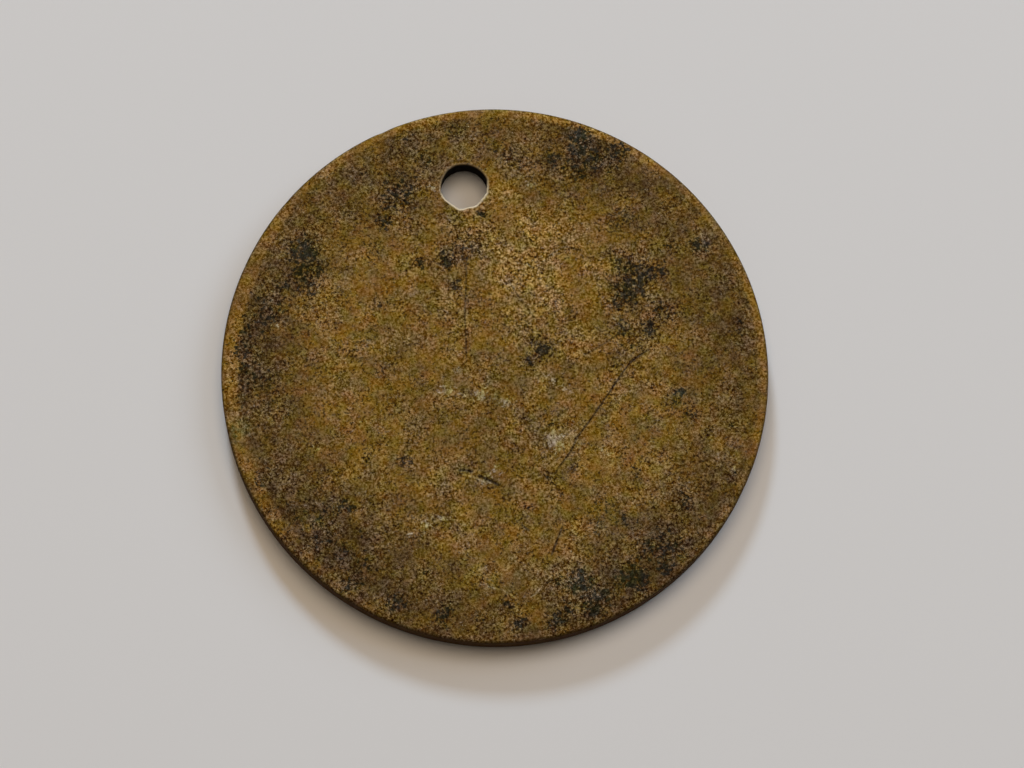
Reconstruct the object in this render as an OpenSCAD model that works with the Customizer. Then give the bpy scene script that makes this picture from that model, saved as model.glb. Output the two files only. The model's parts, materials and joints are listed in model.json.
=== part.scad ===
// Ball marker: one flat brass disc, blanked from sheet, with a small hole punched near its rim.
// Millimetres. The origin is the centre of the lower face, +Z is up through the thickness,
// and the hole lies on the +Y side.

/* [Disc] */
// Diameter of the disc across its rim
disc_d = 25.4; // [20:0.1:40]
// Thickness of the sheet that the disc is blanked from
thickness = 1.3; // [0.9:0.05:3]
// Radius of the upper edge, where the blanking die rolls the metal over
upper_edge_r = 0.12; // [0.04:0.02:0.4]
// Radius of the lower edge, where the burr is rubbed off
lower_edge_r = 0.1; // [0.04:0.02:0.4]

/* [Hole] */
// Diameter of the punched hole, for a split ring or a cord
hole_d = 2.2; // [1.5:0.01:4]
// Metal left between the hole and the rim
hole_web = 2.6; // [1:0.05:4]
// Width of the broken edge around the hole on the upper face
hole_upper_break = 0.06; // [0.02:0.02:0.3]
// Width of the broken edge around the hole on the lower face
hole_lower_break = 0.06; // [0.02:0.02:0.3]

/* [Hidden] */
$fn = 96;

disc_r = disc_d / 2;
hole_r = hole_d / 2;
hole_y = disc_r - hole_web - hole_r;
past_face = 0.5; // how far a cut runs past the face that it opens

// A quarter circle that rounds one edge of the section, centred at the height given.
// It faces up (side = 1) or down (side = -1).
module rounded_edge(edge_r, centre_z, side) {
    translate([disc_r - edge_r, centre_z])
        intersection() {
            circle(r = edge_r);
            translate([0, side > 0 ? 0 : -edge_r])
                square(edge_r);
        }
}

// Half of the disc's section, from its axis to its rim, with both edges rounded
module disc_section() {
    square([disc_r - lower_edge_r, lower_edge_r]);
    translate([0, lower_edge_r])
        square([disc_r, thickness - upper_edge_r - lower_edge_r]);
    translate([0, thickness - upper_edge_r])
        square([disc_r - upper_edge_r, upper_edge_r]);
    rounded_edge(upper_edge_r, thickness - upper_edge_r, 1);
    rounded_edge(lower_edge_r, lower_edge_r, -1);
}

// A 45 degree cone that breaks the hole's edge; its narrow end is the hole's own size
module edge_break(width) {
    cylinder(h = width + past_face, r1 = hole_r, r2 = hole_r + width + past_face);
}

// The through hole with both of its edges broken
module punched_hole() {
    translate([0, hole_y, -past_face])
        cylinder(h = thickness + 2 * past_face, r = hole_r);
    translate([0, hole_y, thickness - hole_upper_break])
        edge_break(hole_upper_break);
    translate([0, hole_y, hole_lower_break])
        mirror([0, 0, 1])
            edge_break(hole_lower_break);
}

module marker_disc() {
    color([0.45, 0.34, 0.16])
        difference() {
            rotate_extrude()
                disc_section();
            punched_hole();
        }
}

marker_disc();
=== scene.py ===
import json
import math
import bpy
import numpy as np
from mathutils import Matrix, Vector, noise
from mathutils.geometry import delaunay_2d_cdt


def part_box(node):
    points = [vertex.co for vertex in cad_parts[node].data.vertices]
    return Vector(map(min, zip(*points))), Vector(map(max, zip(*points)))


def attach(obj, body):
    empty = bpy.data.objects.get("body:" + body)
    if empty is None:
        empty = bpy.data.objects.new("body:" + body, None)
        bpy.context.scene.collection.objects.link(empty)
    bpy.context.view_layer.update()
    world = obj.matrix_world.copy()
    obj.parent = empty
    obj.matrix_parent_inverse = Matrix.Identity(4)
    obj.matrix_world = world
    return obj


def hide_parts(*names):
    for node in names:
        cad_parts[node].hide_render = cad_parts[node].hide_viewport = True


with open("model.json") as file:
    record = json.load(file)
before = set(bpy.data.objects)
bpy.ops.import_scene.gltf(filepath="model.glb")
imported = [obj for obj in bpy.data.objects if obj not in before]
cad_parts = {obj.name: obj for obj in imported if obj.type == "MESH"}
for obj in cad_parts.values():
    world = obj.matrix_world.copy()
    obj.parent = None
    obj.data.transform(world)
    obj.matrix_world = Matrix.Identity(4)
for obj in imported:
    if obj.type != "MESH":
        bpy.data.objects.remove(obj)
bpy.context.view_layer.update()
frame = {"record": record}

mm = 0.001  # everything below is worked out in millimetres and built in metres
print("frame loaded")


# Short ways to write nodes: a value is a number, a vector, a colour or another node's output
def feed(tree, socket, value):
    if isinstance(value, bpy.types.NodeSocket):
        tree.links.new(value, socket)
    elif value is not None:
        socket.default_value = value


def put(tree, kind, inputs=None, **settings):
    made = tree.nodes.new(kind)
    for name, value in settings.items():
        setattr(made, name, value)
    for name, value in (inputs or {}).items():
        feed(tree, made.inputs[name], value)
    return made


def calc(tree, operation, first, second=None, third=None, clamp=False):
    values = {0: first, 1: second, 2: third}
    return put(tree, "ShaderNodeMath", values, operation=operation, use_clamp=clamp).outputs[0]


def product(tree, first, *others):
    for value in others:
        first = calc(tree, "MULTIPLY", first, value)
    return first


def vec(tree, operation, first, second=None, scale=None):
    made = put(tree, "ShaderNodeVectorMath", {0: first, 1: second, 3: scale}, operation=operation)
    return made.outputs["Value" if operation in ("LENGTH", "DISTANCE") else "Vector"]


def joined(tree, **parts):
    return put(tree, "ShaderNodeCombineXYZ", parts).outputs[0]


def split(tree, vector):
    return put(tree, "ShaderNodeSeparateXYZ", {0: vector}).outputs


def ease(tree, value, low, high, start=0.0, end=1.0):
    made = put(tree, "ShaderNodeMapRange", {"Value": value, "From Min": low, "From Max": high,
               "To Min": start, "To Max": end}, interpolation_type="SMOOTHSTEP")
    return made.outputs["Result"]


def cloud(tree, place, size, detail=2.0, roughness=0.5, shift=0.0):
    # soft noise with features of this size in mm; shift moves to another part of the pattern
    moved = vec(tree, "ADD", place, (shift, shift * 0.7, shift * 0.3)) if shift else place
    made = put(tree, "ShaderNodeTexNoise", {"Vector": moved, "Scale": 1.0 / size,
               "Detail": detail, "Roughness": roughness})
    return made.outputs[0]


lowest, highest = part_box("marker_disc")
holeMount = next(m for m in frame["record"]["mounts"] if m["name"] == "hang_hole")
disc = dict(
    radius=(highest[0] - lowest[0]) / 2 / mm,
    thickness=(highest[2] - lowest[2]) / mm,
    holeRadius=holeMount["dims"]["r_mm"],
    holeY=holeMount["pos_m"][1] / mm,
    upperEdge=0.12,        # rounded edge of the upper face
    lowerEdge=0.1,
    upperBreak=0.06,       # broken edge round the hole
    lowerBreak=0.06,
    rimSteps=720,
    holeSteps=200,
    wallRings=9,           # down the rim's wall, and down the hole's
    upperSpacing=0.125,    # between mesh points on the faces
    lowerSpacing=0.18,
    holeSpacing=0.05,      # closer points round the hole, as far out from it as the patch
    holePatch=0.35,
    scratchSpacing=0.032,  # and along the scratches
    scratchPatch=0.13,
    dentSpacing=0.05,      # and in the dents
    dentPatch=0.1,
)

# Marks on the upper face, given in millimetres from the disc's centre: x, y, radius, strength
upperMarks = dict(
    soot=[  # black, slightly blue spots and crowded speckle
        (-7.9, 7.0, 0.75, 1.0), (-8.4, 5.8, 0.75, 0.75), (-7.1, 6.1, 0.5, 0.6), (-7.7, 5.2, 0.5, 0.5),
        (-9.9, 5.2, 0.8, 0.5), (-9.7, 4.2, 0.7, 0.6), (-11.0, 4.2, 0.8, 0.5), (-11.2, 3.0, 0.8, 0.6),
        (-11.3, 1.8, 0.8, 0.55), (-11.3, 0.5, 0.9, 0.45), (-10.3, 1.1, 0.5, 0.45), (-9.3, 1.9, 0.3, 0.4),
        (-4.0, 7.9, 0.4, 1.0), (-4.7, 6.6, 0.5, 0.55), (-3.3, 9.5, 0.8, 0.65), (-2.4, 9.7, 0.5, 0.6),
        (-3.0, 8.7, 0.8, 0.55), (-4.7, 10.4, 0.5, 0.45), (-2.5, 11.6, 0.7, 0.45), (-1.6, 10.6, 0.5, 0.55),
        (-0.1, 11.8, 0.5, 0.55), (-2.55, 5.7, 0.33, 0.95), (-1.35, 5.6, 0.4, 0.85), (-1.2, 4.4, 0.33, 0.95),
        (-0.7, 6.3, 0.8, 0.5), (-0.2, 5.9, 0.5, 0.55), (-4.8, 4.1, 0.35, 0.5), (-4.9, 0.7, 0.5, 0.4),
        (1.5, 11.5, 0.7, 0.4), (2.1, 10.3, 0.5, 0.6), (2.9, 9.6, 0.5, 0.65), (4.3, 9.7, 0.55, 0.9),
        (5.6, 10.5, 0.6, 0.9), (6.0, 9.5, 0.95, 0.85), (7.4, 9.5, 0.7, 0.75), (5.4, 8.8, 0.5, 0.5),
        (3.4, 8.8, 0.3, 0.55), (7.4, 6.4, 0.45, 0.7), (6.7, 6.3, 0.4, 0.5), (9.0, 6.7, 0.3, 0.5),
        (6.4, 4.6, 0.35, 0.55), (9.2, 4.6, 0.3, 0.7), (10.4, 4.5, 0.42, 1.0), (7.1, 3.7, 0.7, 0.85),
        (8.2, 3.6, 0.45, 0.95), (6.4, 3.3, 0.7, 0.65), (6.6, 2.5, 0.6, 0.95), (7.5, 3.0, 0.5, 0.7),
        (7.9, 1.7, 0.6, 0.6), (8.7, 1.6, 0.6, 0.5), (7.4, 0.9, 0.42, 0.9), (6.1, 1.2, 0.5, 0.55),
        (6.3, 0.3, 0.9, 0.4), (8.0, 4.9, 0.9, 0.35), (2.3, 0.7, 0.45, 1.0), (1.5, 0.35, 0.32, 0.85),
        (2.0, 1.2, 0.3, 0.6), (1.8, 1.9, 0.25, 0.6), (3.4, 2.8, 0.3, 0.5), (4.0, 2.2, 0.3, 0.5),
        (11.4, 2.5, 0.5, 0.45), (11.7, 0.6, 0.4, 0.7), (10.3, 1.95, 0.22, 0.55), (11.3, -0.3, 0.5, 0.4),
        (-11.4, -3.4, 0.6, 0.6), (-4.7, -3.5, 0.38, 0.8), (-6.5, -3.15, 0.25, 0.7), (-10.3, -4.7, 0.8, 0.4),
        (-8.7, -5.3, 0.6, 0.55), (-7.75, -5.2, 0.3, 1.0), (-9.6, -5.7, 0.8, 0.45), (-8.9, -6.6, 0.9, 0.45),
        (-8.0, -7.6, 0.9, 0.45), (-7.1, -8.1, 0.6, 0.45), (-8.2, -9.0, 0.5, 0.75), (-6.2, -9.9, 0.5, 1.05),
        (-4.2, -10.9, 0.5, 0.85), (-2.7, -11.3, 0.35, 0.65), (-0.8, -11.7, 0.4, 0.9), (-1.1, -10.8, 0.4, 0.7),
        (-4.8, -8.9, 0.3, 0.6), (-7.3, -6.4, 0.2, 0.7), (0.8, -12.0, 0.4, 0.95), (1.1, -10.2, 0.4, 0.8),
        (2.3, -10.3, 0.6, 0.95), (2.6, -11.6, 0.6, 1.05), (3.3, -11.1, 0.5, 0.8), (4.5, -10.5, 0.65, 1.0),
        (4.9, -10.9, 0.5, 0.9), (6.3, -10.3, 0.42, 0.95), (1.4, -11.6, 0.5, 0.7), (5.6, -9.5, 0.8, 0.6),
        (6.7, -9.4, 0.6, 0.75), (6.1, -8.7, 0.6, 0.5), (7.7, -7.5, 0.38, 0.9), (7.7, -7.1, 0.25, 0.7),
        (7.6, -6.7, 0.4, 0.45), (4.7, -7.9, 0.4, 0.75), (3.4, -7.9, 0.32, 0.65), (3.9, -7.2, 0.5, 0.55),
        (5.6, -5.7, 0.28, 0.8), (2.9, -5.05, 0.18, 0.9), (2.1, -6.1, 0.25, 0.7), (1.7, -5.4, 0.4, 0.45),
        (8.3, -2.35, 0.3, 0.95), (7.8, -2.7, 0.45, 0.6), (8.6, -3.2, 0.35, 0.6), (9.3, -4.3, 0.25, 0.65),
        (10.4, -4.2, 0.25, 0.65), (10.2, -6.4, 0.2, 0.7), (5.6, -0.5, 0.3, 0.5), (2.2, -2.85, 0.16, 0.9),
        (0.4, -3.8, 0.4, 0.4), (0.5, -6.5, 0.3, 0.45), (-10.1, -0.3, 0.6, 0.4), (0.58, 7.6, 0.14, 1.0),
        (0.78, 7.5, 0.16, 1.0),
    ],
    haze=[  # broad brown tarnish with soft edges
        (-8.6, 6.2, 2.0, 0.6), (-10.8, 3.4, 1.8, 0.8), (-11.2, 0.8, 1.9, 0.8), (-3.0, 9.8, 2.2, 0.55),
        (-1.8, 11.4, 1.7, 0.5), (-6.4, 9.6, 2.0, 0.45), (5.8, 9.8, 2.4, 0.75), (8.6, 7.6, 2.0, 0.45),
        (10.9, 4.4, 1.8, 0.5), (11.4, 1.0, 1.9, 0.55), (11.0, -2.2, 1.8, 0.45), (7.2, 2.8, 1.9, 0.35),
        (-10.6, -3.4, 2.0, 0.7), (-9.6, -5.8, 2.2, 0.8), (-8.2, -7.6, 2.2, 0.8), (-6.6, -9.2, 2.0, 0.6),
        (-3.6, -11.0, 1.8, 0.45), (2.2, -11.6, 1.9, 0.7), (5.0, -10.4, 2.2, 0.85), (7.2, -9.0, 2.2, 0.75),
        (9.2, -6.8, 1.8, 0.5), (-0.6, 5.9, 1.3, 0.3), (-6.0, -6.6, 2.2, 0.3), (-0.6, -2.4, 2.4, 0.25),
    ],
    gold=[  # patches rubbed to a brighter yellow
        (-6.3, 5.2, 2.0, 0.55), (-6.9, 3.2, 1.8, 0.7), (3.0, 6.8, 2.2, 0.6), (5.4, 6.4, 1.6, 0.7),
        (2.4, 3.6, 2.2, 0.55), (4.6, 3.0, 1.4, 0.5), (-3.6, 6.9, 1.2, 0.5), (3.6, -2.4, 1.1, 0.9),
        (3.6, -5.6, 0.9, 0.8), (6.6, -4.4, 1.8, 0.5), (5.0, -2.6, 1.4, 0.4), (-6.4, -1.0, 1.8, 0.4),
        (-5.8, -3.0, 1.3, 0.5), (8.3, 0.4, 0.7, 0.7), (8.6, 3.6, 0.35, 0.9), (0.2, 3.4, 1.8, 0.3),
        (-1.4, -8.0, 1.8, 0.4), (1.4, -8.8, 1.4, 0.5), (5.3, -0.6, 0.6, 0.5),
    ],
    bloom=[  # pale grey-green mineral deposit
        (2.25, -3.7, 0.5, 1.0), (-2.5, -0.45, 0.3, 0.8), (-2.15, -0.65, 0.25, 0.8), (-1.6, -0.85, 0.18, 0.8),
        (-0.8, -0.9, 0.26, 0.9), (-0.2, -1.15, 0.16, 0.7), (0.35, -1.45, 0.25, 0.75),
        (-5.1, -6.8, 0.25, 0.55), (-4.4, -6.6, 0.3, 0.75), (-3.6, -6.5, 0.28, 0.65), (-3.1, -6.4, 0.22, 0.7),
        (2.3, -0.75, 0.3, 0.55), (3.2, -1.4, 0.26, 0.55), (2.7, -1.0, 0.2, 0.55), (-1.2, -4.9, 0.3, 0.5),
        (-0.7, -4.65, 0.25, 0.6), (-9.7, 3.8, 0.3, 0.45), (-1.65, 9.2, 0.2, 0.9), (3.08, 8.6, 0.16, 0.9),
        (6.1, 1.8, 0.25, 0.4), (10.15, -6.25, 0.14, 0.9), (4.35, -4.35, 0.12, 0.8), (-8.6, -2.35, 0.16, 0.6),
        (-6.7, -1.5, 0.3, 0.35),
    ],
    verdigris=[  # blue-green corrosion
        (-12.1, -0.9, 0.5, 0.9), (2.2, -10.2, 0.5, 0.5), (-1.7, -9.5, 0.6, 0.35), (5.7, 10.5, 0.5, 0.35),
        (4.2, -10.4, 0.6, 0.3), (3.9, -7.3, 0.6, 0.4), (-7.8, 7.1, 0.5, 0.3), (6.5, -4.1, 0.8, 0.25),
        (8.2, -2.4, 0.4, 0.45), (-5.6, 2.1, 0.9, 0.25), (-4.6, -3.4, 0.6, 0.3),
    ],
    coarse=[  # patches with a harder grain
        (1.0, 5.0, 2.6, 1.0), (3.2, 4.4, 2.0, 0.6), (3.6, 1.6, 1.6, 0.6), (-3.0, -5.6, 1.2, 0.5),
        (1.6, -8.4, 1.6, 0.5), (2.8, -10.4, 1.6, 0.4), (6.2, 3.0, 1.5, 0.4), (0.4, 7.0, 1.4, 0.4),
    ],
    dent=[  # small knocks that press the metal down
        (0.72, 7.42, 0.24, 1.0), (0.5, 7.55, 0.16, 0.7), (-8.9, 1.9, 0.2, 0.4), (9.4, -3.0, 0.22, 0.4),
        (4.62, -4.75, 0.2, 0.5), (-6.6, 8.2, 0.2, 0.35),
    ],
)

# Burrs that the punch left on the upper edge of the hole: heading and half width in degrees, reach in mm
burrs = [
    (-139, 24, 0.08), (-84, 24, 0.09), (-48, 30, 0.12), (-15, 24, 0.06), (150, 30, 0.02), (60, 40, 0.03),
]

# Scratches on the upper face: points in mm, half width, depth, dirt in it, bare metal along it
scratches = [
    dict(points=[(7.7, 0.3), (7.1, -0.1), (6.2, -0.6), (5.0, -1.85), (4.0, -2.9), (3.27, -3.62),
                 (2.85, -4.22), (2.16, -4.93), (1.67, -5.52)],
         width=0.05, depth=0.018, dirt=0.95, bare=0.0),
    dict(points=[(1.92, -7.58), (1.56, -8.2), (1.1, -9.0)], width=0.055, depth=0.018, dirt=0.95, bare=0.0),
    dict(points=[(1.1, -9.1), (0.95, -10.0), (0.75, -10.9)], width=0.04, depth=0.008, dirt=0.0, bare=0.15),
    dict(points=[(6.0, 0.9), (5.1, 0.5), (4.1, 0.1)], width=0.045, depth=0.01, dirt=0.7, bare=0.0),
    dict(points=[(-0.45, 5.6), (-0.7, 4.2), (-0.95, 3.0), (-1.1, 1.8), (-1.3, 0.4)],
         width=0.045, depth=0.01, dirt=0.75, bare=0.0),
    dict(points=[(-2.6, -9.6), (-1.9, -9.9), (-1.2, -10.25), (-0.7, -10.7)],
         width=0.035, depth=0.01, dirt=0.0, bare=0.7),
    dict(points=[(-0.15, -10.7), (0.1, -10.58), (0.4, -10.35)], width=0.035, depth=0.01, dirt=0.0, bare=0.8),
    dict(points=[(-2.45, -4.32), (-2.1, -4.38), (-1.75, -4.5)], width=0.075, depth=0.035, dirt=1.0, bare=0.0),
    dict(points=[(-1.65, -4.68), (-1.2, -4.95), (-0.65, -5.35)], width=0.07, depth=0.035, dirt=1.0, bare=0.0),
    dict(points=[(-2.3, -4.5), (-1.8, -4.75), (-1.2, -5.15)], width=0.05, depth=0.008, dirt=0.0, bare=0.85),
    dict(points=[(3.2, 5.0), (3.7, 5.25), (4.2, 5.4), (4.6, 5.25), (5.05, 5.05)],
         width=0.05, depth=0.012, dirt=0.8, bare=0.0),
    dict(points=[(3.3, 4.1), (4.4, 4.45), (5.6, 4.8)], width=0.035, depth=0.008, dirt=0.3, bare=0.0),
    dict(points=[(1.2, 4.4), (1.6, 3.5), (2.2, 2.3), (2.75, 1.1)],
         width=0.04, depth=0.008, dirt=0.4, bare=0.0),
    dict(points=[(0.0, -7.25), (0.15, -7.45), (0.35, -7.65)], width=0.07, depth=0.012, dirt=0.9, bare=0.0),
    dict(points=[(4.45, -4.68), (4.62, -4.66), (4.8, -4.64)], width=0.055, depth=0.012, dirt=0.0, bare=0.9),
    dict(points=[(2.3, 4.95), (2.4, 4.75), (2.6, 4.6)], width=0.045, depth=0.01, dirt=0.8, bare=0.0),
]
pathStep = 0.03  # between points along a scratch


def alongPath(points):
    # a smooth line through the points, as evenly spaced places
    pts = np.array([points[0], *points, points[-1]], float)
    line = []
    for a, b, c, d in zip(pts, pts[1:], pts[2:], pts[3:]):
        count = max(2, int(np.hypot(*(c - b)) / pathStep))
        for t in np.arange(count) / count:
            line.append(0.5 * (2 * b + (c - a) * t + (2 * a - 5 * b + 4 * c - d) * t ** 2
                               + (3 * b - a - 3 * c + d) * t ** 3))
    return np.array(line + [pts[-1]])


def triangleGrid(spacing, reach, seed, centre=(0.0, 0.0)):
    # rows of points set in triangles, each nudged a little so that the mesh has no grain
    random = np.random.default_rng(seed)
    across = np.arange(-reach, reach, spacing)
    rows = np.arange(-reach, reach, spacing * math.sqrt(3) / 2)
    x = np.concatenate([across + spacing / 2 * (i % 2) for i in range(len(rows))])
    y = np.repeat(rows, len(across))
    nudge = random.uniform(-0.12, 0.12, (len(x), 2)) * spacing
    return np.stack([x, y], 1) + nudge + np.array(centre)


def nearest(points, targets):
    # each point's distance to the nearest target, worked out in batches to save memory
    found = np.full(len(points), 1e9)
    for start in range(0, len(targets), 64):
        gap = points[:, None, :] - targets[None, start:start + 64, :]
        found = np.minimum(found, np.sqrt((gap ** 2).sum(2)).min(1))
    return found


def fromHole(points):
    return np.hypot(points[:, 0], points[:, 1] - disc["holeY"])


def ring(radius, steps, centre=(0.0, 0.0)):
    angle = np.arange(steps) / steps * 2 * math.pi
    return np.stack([centre[0] + radius * np.cos(angle), centre[1] + radius * np.sin(angle)], 1)


def facePoints(rimRadius, holeRadius, spacing, seed, fine):
    # the points inside a face: an even grid, with closer ones round the hole and along each fine line
    fineReach = holeRadius + disc["holePatch"]
    inside = triangleGrid(spacing, rimRadius, seed)
    near = triangleGrid(disc["holeSpacing"], holeRadius + 0.5, seed + 1, (0.0, disc["holeY"]))
    kept = [near[fromHole(near) < fineReach]]
    taken = fromHole(inside) < fineReach + spacing / 2
    for line, step, reach in fine:
        middle = (line.min(0) + line.max(0)) / 2
        patch = triangleGrid(step, np.ptp(line, axis=0).max() / 2 + reach, seed + 2, middle)
        kept.append(patch[nearest(patch, line) < reach])
        box = (np.abs(inside - middle) < np.ptp(line, axis=0) / 2 + reach + spacing).all(1)
        taken[box] |= nearest(inside[box], line) < reach + spacing * 0.4
    points = np.concatenate([inside[~taken], *kept])
    offRim = np.hypot(*points.T) < rimRadius - spacing * 0.45
    return points[offRim & (fromHole(points) > holeRadius + 0.02)]


def face(rimRadius, holeRadius, spacing, seed, fine=()):
    # one flat face as triangles: the rim's points come first, then the hole's, then those inside
    rim = ring(rimRadius, disc["rimSteps"])
    edge = ring(holeRadius, disc["holeSteps"], (0.0, disc["holeY"]))
    points = np.concatenate([rim, edge, facePoints(rimRadius, holeRadius, spacing, seed, fine)])
    n, m = len(rim), len(edge)
    edges = [(i, (i + 1) % n) for i in range(n)] + [(n + i, n + (i + 1) % m) for i in range(m)]
    flat, _, cells, origins, _, _ = delaunay_2d_cdt([Vector(p) for p in points], edges, [], 0, 1e-6)
    flat = np.array([tuple(p) for p in flat])
    cells = np.array(cells)
    cells = cells[fromHole(flat[cells].mean(1)) > holeRadius * 0.999]
    order = np.argsort([o[0] for o in origins])  # back into the order that went in
    back = np.empty(len(order), int)
    back[order] = np.arange(len(order))
    return flat[order], back[cells]


def band(rings, turnedIn=False):
    # quads between rings of vertex numbers; turnedIn makes them face the axis
    quads = []
    for upper, lower in zip(rings, rings[1:]):
        nextUpper, nextLower = np.roll(upper, -1), np.roll(lower, -1)
        sides = (upper, lower, nextLower, nextUpper)
        quads.append(np.stack(sides[::-1] if turnedIn else sides, 1))
    return np.concatenate(quads).tolist()


def arc(steps, start, end):
    return np.radians(np.linspace(start, end, steps + 1))


def blankMesh():
    d = disc
    radius, top, upperR, lowerR = d["radius"], d["thickness"], d["upperEdge"], d["lowerEdge"]
    fine = [(alongPath(s["points"]), d["scratchSpacing"], d["scratchPatch"]) for s in scratches]
    fine += [(np.array([(x, y)]), d["dentSpacing"], r + d["dentPatch"]) for x, y, r, _ in upperMarks["dent"]]
    upper, upperFaces = face(radius - upperR, d["holeRadius"] + d["upperBreak"], d["upperSpacing"], 11, fine)
    lower, lowerFaces = face(radius - lowerR, d["holeRadius"] + d["lowerBreak"], d["lowerSpacing"], 12)
    verts = [np.column_stack([upper, np.full(len(upper), top)]),
             np.column_stack([lower, np.zeros(len(lower))])]
    faces = upperFaces.tolist() + (lowerFaces[:, ::-1] + len(upper)).tolist()
    n, m = d["rimSteps"], d["holeSteps"]
    total = len(upper) + len(lower)

    def addRing(ringRadius, z, steps, centre=(0.0, 0.0)):
        nonlocal total
        verts.append(np.column_stack([ring(ringRadius, steps, centre), np.full(steps, z)]))
        total += steps
        return np.arange(total - steps, total)

    # the rim from the upper face down: rolled edge, sheared wall, rubbed edge
    wall = [np.arange(n)]
    for a in arc(6, 90, 0)[1:]:
        wall.append(addRing(radius - upperR + upperR * math.cos(a), top - upperR + upperR * math.sin(a), n))
    for z in np.linspace(top - upperR, lowerR, d["wallRings"])[1:]:
        wall.append(addRing(radius, z, n))
    for a in arc(4, 0, -90)[1:-1]:
        wall.append(addRing(radius - lowerR + lowerR * math.cos(a), lowerR + lowerR * math.sin(a), n))
    wall.append(np.arange(n) + len(upper))
    faces += band(wall)

    # the hole: its broken edges are slightly rounded, and its wall is straight
    def holeRing(z, width=0.0, share=0.0):
        return addRing(d["holeRadius"] + width * (1 - share) ** 1.3, z, m, (0.0, d["holeY"]))

    bore = [np.arange(n, n + m)]
    for share in (0.3, 0.65, 1.0):
        bore.append(holeRing(top - d["upperBreak"] * share ** 1.3, d["upperBreak"], share))
    for z in np.linspace(top - d["upperBreak"], d["lowerBreak"], d["wallRings"])[1:]:
        bore.append(holeRing(z))
    for share in (0.65, 0.3):
        bore.append(holeRing(d["lowerBreak"] * share ** 1.3, d["lowerBreak"], share))
    bore.append(np.arange(n, n + m) + len(upper))
    faces += band(bore, turnedIn=True)

    mesh = bpy.data.meshes.new("ballMarker")
    mesh.from_pydata((np.concatenate(verts) * mm).tolist(), [], faces)
    mesh.validate()
    mesh.update()
    return mesh


def writeAttribute(mesh, name, values):
    made = mesh.attributes.new(name, "FLOAT", "POINT")
    made.data.foreach_set("value", np.asarray(values, np.float32))


def lowerMarks():
    # the lower face has no marks set by hand, so they are scattered from a fixed seed:
    # how many of each kind, with the smallest and largest radius in mm
    kinds = dict(soot=(70, 0.2, 0.8), haze=(16, 1.4, 2.4), coarse=(5, 1.2, 2.4), gold=(14, 0.9, 2.2),
                 bloom=(12, 0.12, 0.4), verdigris=(7, 0.3, 0.8), dent=(5, 0.15, 0.3))
    random = np.random.default_rng(27)
    marks = {}
    for kind, (count, small, large) in kinds.items():
        angle = random.uniform(0, 2 * math.pi, count)
        away = disc["radius"] * np.sqrt(random.uniform(0.15 if kind == "haze" else 0.0, 0.9, count))
        radius = random.uniform(small, large, count)
        strength = random.uniform(0.4, 1.0, count)
        marks[kind] = np.stack([away * np.cos(angle), away * np.sin(angle), radius, strength], 1)
    return marks


def wander(places, frequency, reach, shift=(0.0, 0.0, 0.0)):
    # how far noise carries each place sideways, in mm, so that stains get ragged outlines
    moves = [tuple(noise.noise_vector(Vector(p) * frequency + Vector(shift))) for p in places]
    return np.array(moves)[:, :2] * reach


def paintMarks(mesh):
    co = np.empty(len(mesh.vertices) * 3)
    mesh.vertices.foreach_get("co", co)
    co = co.reshape(-1, 3) / mm
    onTop = co[:, 2] > disc["thickness"] / 2
    noise.seed_set(6)  # without a seed the noise would start somewhere else in every session
    ragged = wander(co, 1.1, 0.22) + wander(co, 4.0, 0.08, (9, 2, 5))
    sides = [(onTop, upperMarks), (~onTop, lowerMarks())]
    for kind in upperMarks:
        values = np.zeros(len(co))
        for side, marks in sides:
            place = co[side, :2] + (0 if kind == "dent" else ragged[side])
            found = np.zeros(side.sum())
            for x, y, radius, strength in marks[kind]:
                share = np.clip(1 - np.hypot(place[:, 0] - x, place[:, 1] - y) / (2.0 * radius), 0, 1)
                found = 1 - (1 - found) * (1 - min(strength, 1) * share * share * (3 - 2 * share))
            values[side] = found
        writeAttribute(mesh, kind, values)
    heading = np.degrees(np.arctan2(co[:, 1] - disc["holeY"], co[:, 0]))
    reach = np.zeros(len(co))
    for angle, width, length in burrs:
        share = np.clip(1 - np.abs((heading - angle + 180) % 360 - 180) / width, 0, 1)
        reach = np.maximum(reach, length * share ** 0.6)
    writeAttribute(mesh, "burr", reach * np.clip(co[:, 2] / disc["thickness"], 0, 1) ** 2)


# Wear on the blank, all in mm apart from the last two
wear = {
    "Wave Height": 0.010,
    "Wave Size": 6.0,
    "Pit Depth": 0.006,
    "Pit Size": 0.45,
    "Crust Height": 0.004,  # under the black spots, twice as high under the pale deposit
    "Dent Depth": 0.05,
    "Nick Depth": 0.05,     # small nicks along both edges of the rim
    "Nick Spacing": 3.2,
    "Rim Wobble": 0.012,
    "Hole Ragged": 0.2,
    "Groove Depth": 1.0,    # multiplies the depth of every scratch
    "Seed": 4.0,
}


def scratchPaths():
    # points along each scratch, carrying its width, depth and finish
    places, values = [], {"grooveWidth": [], "grooveDepth": [], "dirt": [], "bare": []}
    random = np.random.default_rng(8)
    for s in scratches:
        line = alongPath(s["points"])
        share = np.linspace(0, 1, len(line))
        taper = np.clip(np.minimum(share, 1 - share) * 8, 0.15, 1)
        patchy = np.interp(share, np.linspace(0, 1, 12), random.uniform(0.8, 1.0, 12))
        places += [(x, y, disc["thickness"]) for x, y in line]
        values["grooveWidth"] += list(s["width"] * (0.6 + 0.4 * taper))
        values["grooveDepth"] += list(s["depth"] * taper * patchy)
        values["dirt"] += list(s["dirt"] * taper * patchy)
        values["bare"] += list(s["bare"] * taper * patchy)
    mesh = bpy.data.meshes.new("scratchPaths")
    mesh.from_pydata((np.array(places) * mm).tolist(), [], [])
    for name, value in values.items():
        writeAttribute(mesh, name, value)
    made = bpy.data.objects.new("scratchPaths", mesh)
    bpy.context.scene.collection.objects.link(made)
    return made


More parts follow.
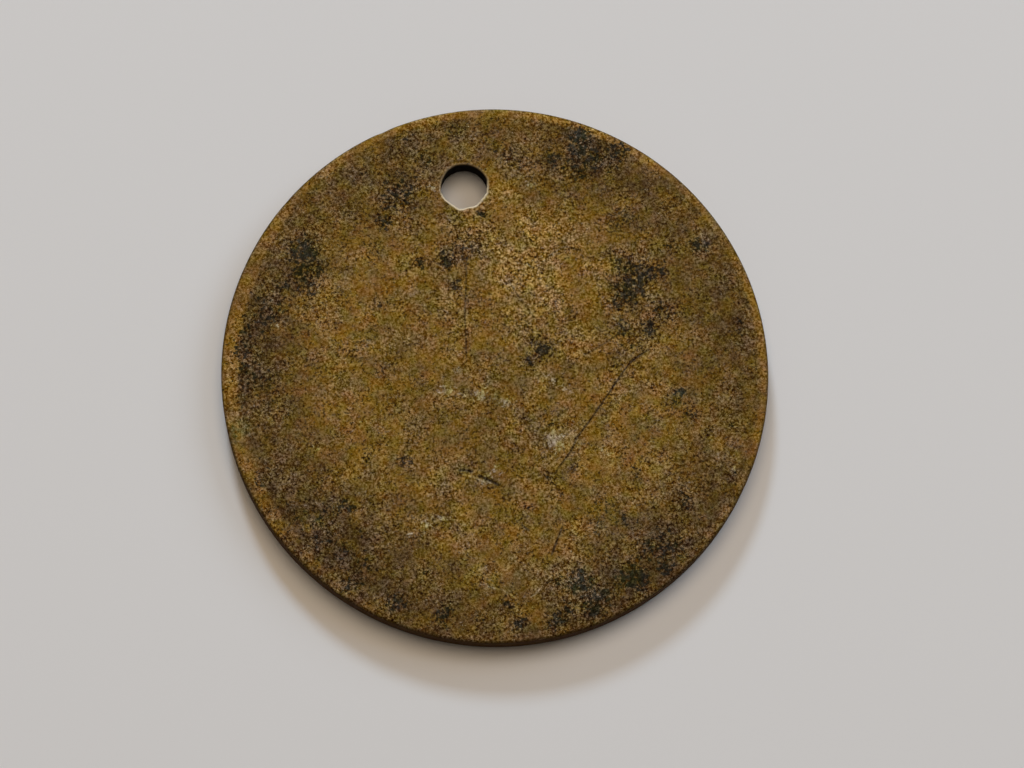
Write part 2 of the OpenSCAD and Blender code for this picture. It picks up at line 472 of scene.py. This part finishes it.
def storedValue(tree, name):
    return put(tree, "GeometryNodeInputNamedAttribute", {"Name": name}, data_type="FLOAT").outputs[0]


def wearTree(sizes):
    tree = bpy.data.node_groups.new("wearAndTear", "GeometryNodeTree")
    sockets = {"Geometry": "Geometry", "Scratch Paths": "Object", "Material": "Material"}
    sockets.update({name: "Float" for name in sizes})
    for name, kind in sockets.items():
        tree.interface.new_socket(name, in_out="INPUT", socket_type="NodeSocket" + kind)
    tree.interface.new_socket("Geometry", in_out="OUTPUT", socket_type="NodeSocketGeometry")
    given = put(tree, "NodeGroupInput").outputs
    position = put(tree, "GeometryNodeInputPosition").outputs[0]
    normal = put(tree, "GeometryNodeInputNormal").outputs[0]
    place = vec(tree, "SCALE", position, scale=1 / mm)
    seeded = vec(tree, "ADD", place, joined(tree, X=given["Seed"]))
    parts = split(tree, place)
    flat = joined(tree, X=parts["X"], Y=parts["Y"])
    away = vec(tree, "LENGTH", flat)
    outward = vec(tree, "NORMALIZE", flat)

    # the faces: slow waves, pits, raised crust under the black spots, dents
    wave = put(tree, "ShaderNodeTexNoise", {"Vector": seeded, "Detail": 1.0,
               "Scale": calc(tree, "DIVIDE", 1.0, given["Wave Size"])}).outputs[0]
    lift = product(tree, calc(tree, "SUBTRACT", wave, 0.5), given["Wave Height"])
    grain = put(tree, "ShaderNodeTexNoise", {"Vector": seeded, "Detail": 2.0, "Roughness": 0.6,
                "Scale": calc(tree, "DIVIDE", 1.0, given["Pit Size"])}).outputs[0]
    lift = calc(tree, "SUBTRACT", lift, product(tree, ease(tree, grain, 0.56, 0.74), given["Pit Depth"]))
    crust = product(tree, storedValue(tree, "soot"), ease(tree, grain, 0.35, 0.55))
    lift = calc(tree, "MULTIPLY_ADD", crust, given["Crust Height"], lift)
    deposit = product(tree, storedValue(tree, "bloom"), 2.0)
    lift = calc(tree, "MULTIPLY_ADD", deposit, given["Crust Height"], lift)
    lift = calc(tree, "SUBTRACT", lift, product(tree, storedValue(tree, "dent"), given["Dent Depth"]))

    # grooves along the scratch paths, with the displaced metal standing up beside them
    paths = put(tree, "GeometryNodeObjectInfo", {"Object": given["Scratch Paths"]}).outputs["Geometry"]
    index = put(tree, "GeometryNodeSampleNearest", {"Geometry": paths}, domain="POINT").outputs[0]

    def sampled(value, kind="FLOAT"):
        made = put(tree, "GeometryNodeSampleIndex", {"Geometry": paths, "Index": index},
                   data_type=kind, domain="POINT")
        feed(tree, made.inputs["Value"], value)
        return made.outputs[0]

    gap = vec(tree, "DISTANCE", place, vec(tree, "SCALE", sampled(position, "FLOAT_VECTOR"), scale=1 / mm))
    gap = calc(tree, "DIVIDE", gap, sampled(storedValue(tree, "grooveWidth")))
    squared = product(tree, gap, gap)
    trough = calc(tree, "EXPONENT", product(tree, squared, -1.0))
    shoulder = product(tree, squared, calc(tree, "EXPONENT", product(tree, squared, -0.8)))
    profile = calc(tree, "MULTIPLY_ADD", shoulder, 0.35, product(tree, trough, -1.0))
    depth = product(tree, sampled(storedValue(tree, "grooveDepth")), given["Groove Depth"])
    lift = calc(tree, "MULTIPLY_ADD", profile, depth, lift)
    inGroove = calc(tree, "MINIMUM", product(tree, trough, 1.15), 1.0)

    # the rim: nicks along both edges and a slight wobble in the outline
    atRim = ease(tree, calc(tree, "SUBTRACT", given["Radius"], away), 0.35, 0.1)
    spots = put(tree, "ShaderNodeTexVoronoi", {"Vector": seeded,
                "Scale": calc(tree, "DIVIDE", 1.0, given["Nick Spacing"])}).outputs["Distance"]
    nick = ease(tree, product(tree, spots, given["Nick Spacing"]), 0.55, 0.1)
    lift = calc(tree, "SUBTRACT", lift, product(tree, nick, atRim, given["Nick Depth"]))
    wobble = calc(tree, "SUBTRACT", cloud(tree, vec(tree, "SCALE", outward, scale=4.0), 1.0), 0.5)
    wobble = product(tree, wobble, given["Rim Wobble"], atRim)

    # the hole: the punch left its edge ragged, most on the side towards the disc's centre
    holePlace = vec(tree, "SUBTRACT", flat, joined(tree, Y=given["Hole Y"]))
    holeGap = calc(tree, "SUBTRACT", vec(tree, "LENGTH", holePlace), given["Hole Radius"])
    holeward = vec(tree, "NORMALIZE", holePlace)
    inner = ease(tree, split(tree, holeward)["Y"], 0.3, -0.5, 0.2, 1.0)
    torn = calc(tree, "SUBTRACT", cloud(tree, holeward, 0.4, 2.0, 0.6, 3.1), 0.5)
    torn = product(tree, torn, inner, given["Hole Ragged"])
    torn = calc(tree, "SUBTRACT", torn, storedValue(tree, "burr"))
    torn = product(tree, torn, ease(tree, holeGap, 0.3, 0.02))
    below = calc(tree, "SUBTRACT", given["Thickness"], parts["Z"])
    # the burr's lip, most on the side towards the disc's centre, which faces the lamps: raised a little here,
    # and painted as a highlight by the material
    lip = product(tree, ease(tree, holeGap, 0.09, 0.06), ease(tree, below, 0.08, 0.04), inner)
    # the hole's wall below its broken edge, which the material paints near black: dark oxide with painted
    # shade
    bore = product(tree, ease(tree, holeGap, 0.03, 0.005), ease(tree, below, 0.03, 0.08))
    lift = calc(tree, "MULTIPLY_ADD", lip, 0.01, lift)

    # masks for the material are stored before the points move
    shape = given["Geometry"]
    masks = dict(dirt=product(tree, sampled(storedValue(tree, "dirt")), inGroove),
                 bare=product(tree, sampled(storedValue(tree, "bare")), inGroove), lip=lip, bore=bore)
    for name, value in masks.items():
        inputs = {"Geometry": shape, "Name": name, "Value": value}
        stored = put(tree, "GeometryNodeStoreNamedAttribute", inputs, data_type="FLOAT", domain="POINT")
        shape = stored.outputs[0]
    offset = vec(tree, "SCALE", normal, scale=lift)
    offset = vec(tree, "ADD", offset, vec(tree, "SCALE", outward, scale=wobble))
    offset = vec(tree, "ADD", offset, vec(tree, "SCALE", holeward, scale=torn))
    offset = vec(tree, "SCALE", offset, scale=mm)
    shape = put(tree, "GeometryNodeSetPosition", {"Geometry": shape, "Offset": offset}).outputs[0]
    shape = put(tree, "GeometryNodeSetShadeSmooth", {"Geometry": shape}).outputs[0]
    shape = put(tree, "GeometryNodeRealizeInstances", {"Geometry": shape}).outputs[0]
    finished = put(tree, "GeometryNodeSetMaterial", {"Geometry": shape, "Material": given["Material"]})
    put(tree, "NodeGroupOutput", {"Geometry": finished.outputs[0]})
    return tree


# The old brass: its colours, then sizes in mm, then the strength of each effect
brass = dict(
    olive=(0.139, 0.087, 0.020),
    moss=(0.130, 0.089, 0.021),
    gold=(0.228, 0.123, 0.021),
    orange=(0.200, 0.088, 0.015),
    brown=(0.057, 0.031, 0.011),
    speck=(0.050, 0.024, 0.005),
    black=(0.016, 0.009, 0.003),
    soot=(0.015, 0.0135, 0.008),
    grime=(0.012, 0.006, 0.003),    # in the deep scratches
    pale=(0.38, 0.29, 0.155),       # bare metal
    deposit=(0.37, 0.295, 0.18),
    green=(0.050, 0.068, 0.036),
    edge=(0.175, 0.092, 0.016),     # rubbed rim
    shear=(0.050, 0.021, 0.007),    # wall of the rim and of the hole
    # the hole's wall: dark oxide, painted near black as shade
    bore=(0.010, 0.007, 0.005),
    lip=(0.72, 0.61, 0.42),         # fresh metal on the hole's burr, painted almost white as a highlight
    speckleSize=0.13,
    grainSize=0.12,
    dustSize=0.055,
    grain=0.15,
    dust=0.07,
    lighten=0.034,
    roughness=0.62,
    metallic=0.3,
    bump=0.012,
)


def newGroup(name, inputs):
    # a shader group that puts out one mask; its inputs are numbers, apart from the place
    tree = bpy.data.node_groups.new(name, "ShaderNodeTree")
    tree.interface.new_socket("Vector", in_out="INPUT", socket_type="NodeSocketVector")
    for label, value in inputs.items():
        made = tree.interface.new_socket(label, in_out="INPUT", socket_type="NodeSocketFloat")
        made.default_value = value
    tree.interface.new_socket("Mask", in_out="OUTPUT", socket_type="NodeSocketFloat")
    return tree, put(tree, "NodeGroupInput").outputs, put(tree, "NodeGroupOutput").inputs["Mask"]


def speckleGroup():
    # islands where fine noise passes a level; a higher Amount lets more through
    tree, given, mask = newGroup("speckle", dict(Size=0.1, Shift=0.0, Amount=0.5, Softness=0.05))
    moved = vec(tree, "ADD", given["Vector"], joined(tree, X=given["Shift"], Z=given["Shift"]))
    fine = put(tree, "ShaderNodeTexNoise", {"Vector": moved, "Detail": 2.0, "Roughness": 0.55,
               "Scale": calc(tree, "DIVIDE", 1.0, given["Size"])}).outputs[0]
    level = calc(tree, "SUBTRACT", 0.74, product(tree, given["Amount"], 0.3))
    low = calc(tree, "SUBTRACT", level, given["Softness"])
    high = calc(tree, "ADD", level, given["Softness"])
    feed(tree, mask, ease(tree, fine, low, high))
    return tree


def hairlineGroup():
    # long thin lines at one angle, broken up along their length
    tree, given, mask = newGroup("hairlines", dict(Angle=0.0, Shift=0.0, Amount=0.5))
    bend = put(tree, "ShaderNodeTexNoise", {"Vector": given["Vector"], "Scale": 0.12}).outputs["Color"]
    bent = vec(tree, "ADD", given["Vector"], vec(tree, "SCALE", bend, scale=1.6))
    turned = put(tree, "ShaderNodeVectorRotate", {"Vector": bent, "Angle": given["Angle"]},
                 rotation_type="Z_AXIS").outputs[0]
    long = vec(tree, "MULTIPLY", turned, (0.16, 3.2, 1.0))
    long = vec(tree, "ADD", long, joined(tree, X=given["Shift"], Y=given["Shift"]))
    level = put(tree, "ShaderNodeTexNoise", {"Vector": long, "Scale": 1.0, "Detail": 1.0}).outputs[0]
    thin = ease(tree, calc(tree, "ABSOLUTE", calc(tree, "SUBTRACT", level, 0.5)), 0.012, 0.0)
    broken = ease(tree, cloud(tree, given["Vector"], 2.6, shift=7.0), 0.5, 0.62)
    feed(tree, mask, product(tree, thin, broken, given["Amount"]))
    return tree


def useGroup(tree, group, **inputs):
    made = tree.nodes.new("ShaderNodeGroup")
    made.node_tree = group
    for name, value in inputs.items():
        feed(tree, made.inputs[name], value)
    return made.outputs[0]


def blend(tree, share, first, second, kind="MIX", clamp=False):
    made = tree.nodes.new("ShaderNodeMix")
    made.data_type = "RGBA"
    made.blend_type = kind
    made.clamp_result = clamp
    feed(tree, made.inputs["Factor"], share)
    for socket, value in ((made.inputs[6], first), (made.inputs[7], second)):
        feed(tree, socket, (*value, 1.0) if isinstance(value, tuple) else value)
    return made.outputs[2]


def painted(tree, name):
    return put(tree, "ShaderNodeAttribute", attribute_name=name).outputs["Fac"]


# Each of the next functions lays one layer over the colour; at holds what the layers share
def tarnish(tree, at):
    # olive ground with golden, orange and mossy patches, and brown haze towards the rim
    place, radius = at["place"], disc["radius"]
    patch = cloud(tree, place, 1.1)
    warm = cloud(tree, place, 0.8, shift=11.0)
    tint = cloud(tree, place, 0.75, 1.0, shift=61.0)
    rubbed = product(tree, painted(tree, "gold"), 0.5)
    rubbed = calc(tree, "ADD", rubbed, ease(tree, patch, 0.38, 0.66, 0.1, 0.75), clamp=True)
    colour = blend(tree, rubbed, brass["olive"], brass["gold"])
    colour = blend(tree, ease(tree, warm, 0.5, 0.72, 0.0, 0.6), colour, brass["orange"])
    colour = blend(tree, ease(tree, tint, 0.5, 0.68, 0.0, 0.45), colour, brass["orange"])
    colour = blend(tree, ease(tree, tint, 0.5, 0.32, 0.0, 0.6), colour, brass["moss"])
    ringShade = ease(tree, at["away"], radius * 0.62, radius * 0.95, 0.0, 0.35)
    hazy = calc(tree, "MULTIPLY_ADD", at["haze"], 0.75, ringShade)
    uneven = ease(tree, cloud(tree, place, 0.6, 4.0, 0.65, 23.0), 0.3, 0.62, 0.35, 1.0)
    return blend(tree, calc(tree, "MULTIPLY", hazy, uneven, clamp=True), colour, brass["brown"])


def rubbedRim(tree, at, colour):
    # the rim is rubbed cleaner than the face, apart from its -Y side, which is browner
    radius, away = disc["radius"], at["away"]
    rimLine = calc(tree, "MULTIPLY_ADD", calc(tree, "SUBTRACT", at["middle"], 0.5), 0.5, away)
    rimLine = calc(tree, "ADD", rimLine, ease(tree, at["x"], -6.0, -12.0, 0.0, 0.4))
    worn = ease(tree, rimLine, radius - 0.5, radius - 0.28)
    farSide = ease(tree, at["y"], -9.0, 3.0)
    uneven = ease(tree, cloud(tree, at["place"], 5.0, shift=91.0), 0.38, 0.58, 0.1, 0.7)
    colour = blend(tree, product(tree, worn, uneven, farSide), colour, brass["edge"])
    outermost = ease(tree, away, radius - 0.8, radius - 0.2, 0.0, 0.55)
    at.update(worn=worn, cleaned=product(tree, worn, farSide))
    return blend(tree, product(tree, outermost, ease(tree, at["y"], -8.5, -11.5)), colour, brass["brown"])


def stains(tree, at, colour):
    # fine dark dots everywhere, crowded and ragged where the soot is
    def scattered(size, softness, shift, amount):
        return useGroup(tree, at["speckle"], Vector=at["place"], Size=size, Softness=softness,
                        Shift=shift, Amount=amount)

    soot = at["soot"]
    stained = calc(tree, "MAXIMUM", soot, product(tree, at["haze"], 0.4))
    crowd = ease(tree, cloud(tree, at["place"], 0.9, 3.0, 0.6, 31.0), 0.35, 0.7)
    amount = calc(tree, "MULTIPLY_ADD", stained, 0.45, 0.3)
    amount = calc(tree, "MULTIPLY_ADD", crowd, 0.35, amount)
    amount = product(tree, amount, calc(tree, "MULTIPLY_ADD", at["cleaned"], -0.75, 1.0))
    dots = scattered(brass["speckleSize"], 0.03, 3.0, amount)
    colour = blend(tree, product(tree, dots, 0.9), colour, brass["speck"])
    shade = product(tree, soot, ease(tree, at["middle"], 0.35, 0.6, 0.0, 0.28))
    colour = blend(tree, shade, colour, brass["brown"])
    specks = scattered(0.15, 0.02, 53.0, calc(tree, "MULTIPLY_ADD", stained, 0.62, 0.14))
    colour = blend(tree, product(tree, specks, 0.92), colour, brass["black"])
    blots = scattered(0.2, 0.02, 41.0, product(tree, calc(tree, "POWER", soot, 1.4), 1.05))
    at.update(dots=dots, black=calc(tree, "MAXIMUM", blots, specks))
    return blend(tree, product(tree, blots, 0.88), colour, brass["soot"])


def deposits(tree, at, colour):
    # pale grains, pale crust and verdigris
    place, speckle = at["place"], at["speckle"]
    grains = useGroup(tree, speckle, Vector=place, Size=0.12, Softness=0.03, Shift=71.0, Amount=0.42)
    colour = blend(tree, product(tree, grains, 0.08), colour, brass["pale"])
    crust = useGroup(tree, speckle, Vector=place, Size=0.13, Softness=0.07, Shift=83.0,
                     Amount=product(tree, painted(tree, "bloom"), 1.1))
    colour = blend(tree, product(tree, crust, 0.85), colour, brass["deposit"])
    at.update(crust=crust)
    green = product(tree, painted(tree, "verdigris"), ease(tree, at["middle"], 0.35, 0.65, 0.15, 0.7))
    return blend(tree, green, colour, brass["green"])


def scratchMarks(tree, at, colour):
    # dirt in the deep scratches, bare metal in the fresh ones, hairlines all over
    hairlines, lines = hairlineGroup(), None
    for angle, shift in ((0.35, 1.0), (1.45, 9.0), (2.5, 15.0)):
        more = useGroup(tree, hairlines, Vector=at["place"], Angle=angle, Shift=shift, Amount=1.0)
        lines = more if lines is None else calc(tree, "MAXIMUM", lines, more)
    colour = blend(tree, product(tree, lines, 0.2), colour, brass["pale"])
    colour = blend(tree, painted(tree, "dirt"), colour, brass["grime"])
    bare = product(tree, painted(tree, "bare"), ease(tree, at["fine"], 0.3, 0.55, 0.2, 0.9))
    return blend(tree, bare, colour, brass["pale"])


def shearedWall(tree, at, colour):
    # the wall of the rim and of the hole is darker than the faces, and the hole's wall is painted near black
    # as shade over its dark oxide
    upright = split(tree, put(tree, "ShaderNodeNewGeometry").outputs["Normal"])["Z"]
    sideways = ease(tree, calc(tree, "ABSOLUTE", upright), 0.75, 0.3)
    at.update(sideways=sideways)
    colour = blend(tree, product(tree, sideways, 0.85), colour, brass["shear"])
    # painted shade: the hole's wall is painted near black over its dark oxide
    return blend(tree, painted(tree, "bore"), colour, brass["bore"])


def fineGrain(tree, at, colour):
    place, radius = at["place"], disc["radius"]
    # thin tarnish is yellower in places and redder in others
    yellow = ease(tree, cloud(tree, place, 0.6, 1.0, shift=45.0), 0.3, 0.7, 1.2, 0.38)
    red = ease(tree, cloud(tree, place, 0.5, 1.0, shift=29.0), 0.3, 0.7, 1.06, 0.94)
    tint = put(tree, "ShaderNodeCombineColor", {"Red": 1.0, "Green": red, "Blue": yellow}).outputs[0]
    colour = blend(tree, 1.0, colour, tint, "MULTIPLY")

    # a grey noise added in even steps of brightness, so that it leaves the hue alone
    fine = ease(tree, at["fine"], 0.33, 0.67, -1.0, 1.0)
    dust = ease(tree, cloud(tree, place, brass["dustSize"], 1.0, shift=77.0), 0.25, 0.75, -1.0, 1.0)
    grain = calc(tree, "MULTIPLY_ADD", fine, brass["grain"], brass["lighten"])
    grain = calc(tree, "MULTIPLY_ADD", dust, brass["dust"], grain)

    # it is stronger in coarse patches and round the soot, and weaker on black spots and the wall
    strength = ease(tree, at["away"], radius * 0.55, radius, 0.95, 0.85)
    strength = calc(tree, "MULTIPLY_ADD", painted(tree, "coarse"), 0.45, strength)
    strength = calc(tree, "MULTIPLY_ADD", at["soot"], 0.3, strength)
    uneven = ease(tree, cloud(tree, place, 1.5, shift=37.0), 0.35, 0.65, 0.7, 1.25)
    quiet = calc(tree, "MAXIMUM", product(tree, at["black"], 0.6), product(tree, at["sideways"], 0.7))
    strength = product(tree, strength, uneven, calc(tree, "SUBTRACT", 1.0, quiet))
    even = put(tree, "ShaderNodeGamma", {"Color": colour, "Gamma": 1 / 2.2}).outputs[0]
    even = blend(tree, 1.0, even, product(tree, grain, strength), "ADD", clamp=True)
    return put(tree, "ShaderNodeGamma", {"Color": even, "Gamma": 2.2}).outputs[0]


def brassMaterial():
    material = bpy.data.materials.new("tarnishedBrass")
    material.use_nodes = True
    tree = material.node_tree
    tree.nodes.clear()
    place = vec(tree, "SCALE", put(tree, "ShaderNodeTexCoord").outputs["Object"], scale=1 / mm)
    parts = split(tree, place)
    at = dict(
        place=place, x=parts["X"], y=parts["Y"],
        away=vec(tree, "LENGTH", joined(tree, X=parts["X"], Y=parts["Y"])),
        fine=cloud(tree, place, brass["grainSize"], 3.0, 0.75, 5.0),
        middle=cloud(tree, place, 0.25, shift=17.0),
        soot=painted(tree, "soot"), haze=painted(tree, "haze"), speckle=speckleGroup(),
    )
    colour = tarnish(tree, at)
    for layer in (rubbedRim, stains, deposits, scratchMarks, shearedWall, fineGrain):
        colour = layer(tree, at, colour)
    # painted highlight: the burr's lip on the side facing the lamps is painted almost white over its bare
    # metal
    lip = product(tree, painted(tree, "lip"), ease(tree, at["middle"], 0.3, 0.5, 0.75, 1.0))
    colour = blend(tree, lip, colour, brass["lip"])

    dull = calc(tree, "MAXIMUM", at["black"], product(tree, at["crust"], 0.9))
    roughness = calc(tree, "MULTIPLY_ADD", dull, 0.22, brass["roughness"])
    roughness = calc(tree, "MULTIPLY_ADD", at["sideways"], 0.3, roughness)
    roughness = calc(tree, "MULTIPLY_ADD", at["worn"], -0.12, roughness)
    uneven = calc(tree, "SUBTRACT", at["middle"], 0.5)
    roughness = calc(tree, "MULTIPLY_ADD", uneven, 0.25, roughness, clamp=True)
    shiny = calc(tree, "SUBTRACT", 1.0, calc(tree, "MAXIMUM", dull, at["sideways"]))
    metallic = product(tree, shiny, calc(tree, "MULTIPLY_ADD", at["worn"], 0.25, brass["metallic"]))
    height = calc(tree, "MULTIPLY_ADD", at["fine"], 0.5, product(tree, at["middle"], 0.6))
    height = calc(tree, "MULTIPLY_ADD", at["dots"], -0.5, height)
    height = calc(tree, "MULTIPLY_ADD", at["crust"], 0.8, height)
    bump = put(tree, "ShaderNodeBump", {"Height": height, "Distance": brass["bump"] * mm, "Strength": 1.0})
    shader = put(tree, "ShaderNodeBsdfPrincipled", {"Base Color": colour, "Roughness": roughness,
                 "Metallic": metallic, "Normal": bump.outputs[0], "Specular IOR Level": 0.06})
    put(tree, "ShaderNodeOutputMaterial", {"Surface": shader.outputs[0]})
    return material


def ballMarker():
    mesh = blankMesh()
    print("blank cut:", len(mesh.polygons), "faces")
    paintMarks(mesh)
    print("marks painted")
    piece = bpy.data.objects.new("ballMarker", mesh)
    bpy.context.scene.collection.objects.link(piece)
    paths = scratchPaths()
    sizes = {"Radius": disc["radius"], "Thickness": disc["thickness"], "Hole Radius": disc["holeRadius"],
             "Hole Y": disc["holeY"], **wear}
    values = {"Scratch Paths": paths, "Material": brassMaterial(), **sizes}
    modifier = piece.modifiers.new("wear", "NODES")
    modifier.node_group = wearTree(sizes)
    for socket in modifier.node_group.interface.items_tree:
        if socket.in_out == "INPUT" and socket.name in values:
            modifier[socket.identifier] = values[socket.name]
    depsgraph = bpy.context.evaluated_depsgraph_get()
    worn = bpy.data.meshes.new_from_object(piece.evaluated_get(depsgraph))
    piece.modifiers.clear()
    piece.data = worn
    bpy.data.objects.remove(paths)
    print("wear applied:", len(worn.polygons), "faces")
    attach(piece, "root")
    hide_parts("marker_disc")


# The floor lies just under the disc, so that the waves of its lower face don't reach it
floor = dict(size=600.0, drop=0.02, colour=(0.80, 0.795, 0.79), roughness=0.9)


def plainFloor():
    half, z = floor["size"] / 2 * mm, -floor["drop"] * mm
    mesh = bpy.data.meshes.new("floor")
    corners = [(-half, -half, z), (half, -half, z), (half, half, z), (-half, half, z)]
    mesh.from_pydata(corners, [], [(0, 1, 2, 3)])
    ground = bpy.data.objects.new("floor", mesh)
    bpy.context.scene.collection.objects.link(ground)
    material = bpy.data.materials.new("floorPaint")
    material.use_nodes = True
    shader = material.node_tree.nodes["Principled BSDF"]
    shader.inputs["Base Color"].default_value = (*floor["colour"], 1.0)
    shader.inputs["Roughness"].default_value = floor["roughness"]
    mesh.materials.append(material)


# Lamps by heading and height in degrees, size and distance in millimetres, power in watts
studio = dict(
    distance=700.0,
    lamps=dict(
        ceiling=dict(heading=81.0, height=71.0, size=560.0, power=2.1, colour=(1.0, 0.80, 0.59)),
        window=dict(heading=91.0, height=28.4, size=120.0, power=2.5, colour=(0.62, 0.80, 1.0)),
        doorway=dict(heading=28.0, height=35.0, size=460.0, power=1.4, colour=(0.66, 0.81, 1.0)),
    ),
    fill=0.1,
    fillColour=(1.0, 0.84, 0.66),
)


def direction(heading, height):
    heading, height = math.radians(heading), math.radians(height)
    level = math.cos(height)
    return Vector((math.cos(heading) * level, math.sin(heading) * level, math.sin(height)))


def softLamp(name, heading, height, size, power, colour):
    light = bpy.data.lights.new(name, "AREA")
    light.shape = "DISK"
    light.size = size * mm
    light.energy = power
    light.color = colour
    lamp = bpy.data.objects.new(name, light)
    towards = direction(heading, height)
    lamp.location = towards * studio["distance"] * mm
    lamp.rotation_euler = towards.to_track_quat("Z", "Y").to_euler()
    bpy.context.scene.collection.objects.link(lamp)


def studioLight():
    for name, lamp in studio["lamps"].items():
        softLamp(name, **lamp)
    world = bpy.data.worlds.new("room")
    world.use_nodes = True
    sky = world.node_tree.nodes["Background"]
    sky.inputs["Color"].default_value = (*studio["fillColour"], 1.0)
    sky.inputs["Strength"].default_value = studio["fill"]
    bpy.context.scene.world = world


# The camera looks down, tilted off the vertical towards heading; its top edge is turned to upHeading.
# Distances and the small steps that centre the disc in view are in mm, angles in degrees.
shot = dict(distance=177.8, tilt=12.6, heading=252.35, upHeading=80.65, lens=133.8, right=0.81, down=0.284)


def tiltedCamera():
    lens = bpy.data.cameras.new("camera")
    lens.lens = shot["lens"]
    lens.sensor_width = 36.0
    lens.clip_start = 0.01
    back = direction(shot["heading"], 90 - shot["tilt"]).normalized()
    right = direction(shot["upHeading"], 0.0).cross(back).normalized()
    above = back.cross(right)
    camera = bpy.data.objects.new("camera", lens)
    camera.matrix_world = Matrix((right, above, back)).transposed().to_4x4()
    camera.location = (back * shot["distance"] + right * shot["right"] - above * shot["down"]) * mm
    bpy.context.scene.collection.objects.link(camera)
    bpy.context.scene.camera = camera


ballMarker()
plainFloor()
studioLight()
tiltedCamera()
bpy.context.scene.view_settings.view_transform = "Standard"
print("lights and camera set")
